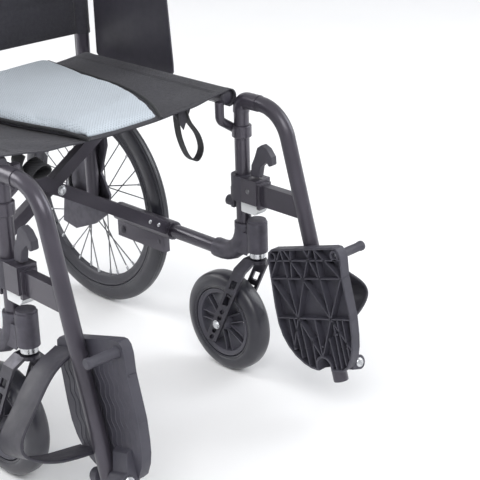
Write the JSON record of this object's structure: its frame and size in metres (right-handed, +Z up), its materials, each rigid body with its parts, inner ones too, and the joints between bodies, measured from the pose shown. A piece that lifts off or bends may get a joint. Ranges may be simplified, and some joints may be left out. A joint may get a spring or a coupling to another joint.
{
  "type": "transport wheelchair",
  "caption": "Folding transport wheelchair with crossed folding bars, swing-away leg rests with flip-up foot plates, casters, spoked rear wheels, flip-back armrests and a padded sling seat.",
  "frame": {"origin": "on the floor, under the middle of the chair's bounding box", "axes": "+Z up, the chair faces -Y, +X is the chair's left"},
  "size_m": [0.7046, 0.9257, 0.946],
  "materials": {
    "frame": "satin",
    "casting": "matte",
    "black_metal": "satin",
    "steel": "satin",
    "wheel": "satin",
    "tyre": "satin",
    "plastic": "matte",
    "white_plastic": "satin",
    "plate": "matte",
    "grip": "matte",
    "pad": "matte",
    "cable": "satin",
    "seat_fabric": "matte",
    "mesh_fabric": "matte",
    "webbing": "matte"
  },
  "bodies": {
    "frame_right": {"front_post_right": "frame", "lower_rail_right": "frame", "corner_casting_right": "casting", "caster_housing_right": "casting", "back_cane_right": "frame", "push_grip_right": "grip", "brake_cable_right": "cable", "axle_plate_right": "frame", "rear_axle_right": "steel", "latch_receiver_right": "plastic", "back_sling": "seat_fabric"},
    "hanger_right": {"hanger_tube_right": "frame", "latch_pad_right": "white_plastic"},
    "latch_right": {"latch_hook_right": "plastic"},
    "footplate_right": {"footplate_right": "plate", "heel_loop_right": "webbing"},
    "caster_right": {"caster_fork_right": "black_metal", "caster_axle_right": "steel"},
    "caster_wheel_right": {"caster_rim_right": "wheel", "caster_tyre_right": "tyre"},
    "rear_right": {"rear_wheel_right": "wheel", "rear_tyre_right": "tyre"},
    "armrest_right": {"armrest_frame_right": "frame", "arm_pad_right": "pad", "skirt_guard_right": "plastic"},
    "lever_right": {"brake_lever_right": "black_metal"},
    "frame_left": {"front_post_left": "frame", "lower_rail_left": "frame", "corner_casting_left": "casting", "caster_housing_left": "casting", "back_cane_left": "frame", "push_grip_left": "grip", "brake_cable_left": "cable", "axle_plate_left": "frame", "rear_axle_left": "steel", "latch_receiver_left": "plastic"},
    "hanger_left": {"hanger_tube_left": "frame", "latch_pad_left": "white_plastic"},
    "latch_left": {"latch_hook_left": "plastic"},
    "footplate_left": {"footplate_left": "plate", "heel_loop_left": "webbing"},
    "caster_left": {"caster_fork_left": "black_metal", "caster_axle_left": "steel"},
    "caster_wheel_left": {"caster_rim_left": "wheel", "caster_tyre_left": "tyre"},
    "rear_left": {"rear_wheel_left": "wheel", "rear_tyre_left": "tyre"},
    "armrest_left": {"armrest_frame_left": "frame", "arm_pad_left": "pad", "skirt_guard_left": "plastic"},
    "lever_left": {"brake_lever_left": "black_metal"},
    "bar_left": {"cross_bar_left": "frame", "seat_rail_left": "frame", "centre_bolt": "steel", "seat_sling": "seat_fabric", "seat_cushion": "mesh_fabric", "pull_strap": "webbing"},
    "bar_right": {"cross_bar_right": "frame", "seat_rail_right": "frame"}
  },
  "joints": [
    {"name": "fold", "type": "hinge", "parent": "frame_right", "child": "bar_left", "pos_m": [-0.235, 0.01925, 0.221], "axis": [0, -1, 0], "range_deg": [0, 44], "deforming": ["seat_sling", "seat_cushion", "pull_strap", "back_sling"]},
    {"name": "cross_pivot", "type": "hinge", "parent": "bar_left", "child": "bar_right", "pos_m": [0, 0.00725, 0.361], "axis": [0, -1, 0], "range_deg": [-88, 0]},
    {"name": "left_rail_pivot", "type": "hinge", "parent": "bar_right", "child": "frame_left", "pos_m": [0.235, -0.00475, 0.221], "axis": [0, -1, 0], "range_deg": [0, 44]},
    {"name": "hanger_swing_right", "type": "hinge", "parent": "frame_right", "child": "hanger_right", "pos_m": [-0.235, -0.19475, 0.4], "axis": [0, 0, -1], "range_deg": [-2, 88]},
    {"name": "latch_press_right", "type": "hinge", "parent": "hanger_right", "child": "latch_right", "pos_m": [-0.23612, -0.22673, 0.378], "axis": [-0.9994, 0.0349, 0], "range_deg": [0, 10], "stiffness_Nm_per_rad": 0.6},
    {"name": "footplate_fold_right", "type": "hinge", "parent": "hanger_right", "child": "footplate_right", "pos_m": [-0.24222, -0.4015, 0.09642], "axis": [0.0335, 0.9597, -0.279], "range_deg": [0, 90]},
    {"name": "caster_swivel_right", "type": "hinge", "parent": "frame_right", "child": "caster_right", "pos_m": [-0.235, -0.22525, 0.26], "axis": [0, 0, 1], "range_deg": [-120, 60]},
    {"name": "caster_spin_right", "type": "hinge", "parent": "caster_right", "child": "caster_wheel_right", "pos_m": [-0.235, -0.14975, 0.09], "axis": [1, 0, 0], "continuous": true},
    {"name": "rear_spin_right", "type": "hinge", "parent": "frame_right", "child": "rear_right", "pos_m": [-0.272, 0.25525, 0.208], "axis": [1, 0, 0], "continuous": true},
    {"name": "armrest_flip_right", "type": "hinge", "parent": "frame_right", "child": "armrest_right", "pos_m": [-0.266, 0.21025, 0.7], "axis": [-1, 0, 0], "range_deg": [0, 100]},
    {"name": "brake_squeeze_right", "type": "hinge", "parent": "frame_right", "child": "lever_right", "pos_m": [-0.235, 0.25325, 0.905], "axis": [1, 0, 0], "range_deg": [0, 8], "stiffness_Nm_per_rad": 3, "springref_deg": -8.59},
    {"name": "hanger_swing_left", "type": "hinge", "parent": "frame_left", "child": "hanger_left", "pos_m": [0.235, -0.19475, 0.4], "axis": [0, 0, 1], "range_deg": [0, 90]},
    {"name": "latch_press_left", "type": "hinge", "parent": "hanger_left", "child": "latch_left", "pos_m": [0.235, -0.22675, 0.378], "axis": [-1, 0, 0], "range_deg": [0, 10], "stiffness_Nm_per_rad": 0.6},
    {"name": "footplate_fold_left", "type": "hinge", "parent": "hanger_left", "child": "footplate_left", "pos_m": [0.235, -0.40163, 0.09642], "axis": [0, -0.9603, 0.279], "range_deg": [0, 90]},
    {"name": "caster_swivel_left", "type": "hinge", "parent": "frame_left", "child": "caster_left", "pos_m": [0.235, -0.22525, 0.26], "axis": [0, 0, -1], "range_deg": [-120, 60]},
    {"name": "caster_spin_left", "type": "hinge", "parent": "caster_left", "child": "caster_wheel_left", "pos_m": [0.235, -0.14975, 0.09], "axis": [1, 0, 0], "continuous": true},
    {"name": "rear_spin_left", "type": "hinge", "parent": "frame_left", "child": "rear_left", "pos_m": [0.272, 0.25525, 0.208], "axis": [1, 0, 0], "continuous": true},
    {"name": "armrest_flip_left", "type": "hinge", "parent": "frame_left", "child": "armrest_left", "pos_m": [0.266, 0.21025, 0.7], "axis": [-1, 0, 0], "range_deg": [0, 100]},
    {"name": "brake_squeeze_left", "type": "hinge", "parent": "frame_left", "child": "lever_left", "pos_m": [0.235, 0.25325, 0.905], "axis": [1, 0, 0], "range_deg": [0, 8], "stiffness_Nm_per_rad": 3, "springref_deg": -8.59}
  ],
  "couplings": [
    {"joint": "cross_pivot", "follows": "fold", "ratio": -2},
    {"joint": "left_rail_pivot", "follows": "fold", "ratio": 1}
  ]
}
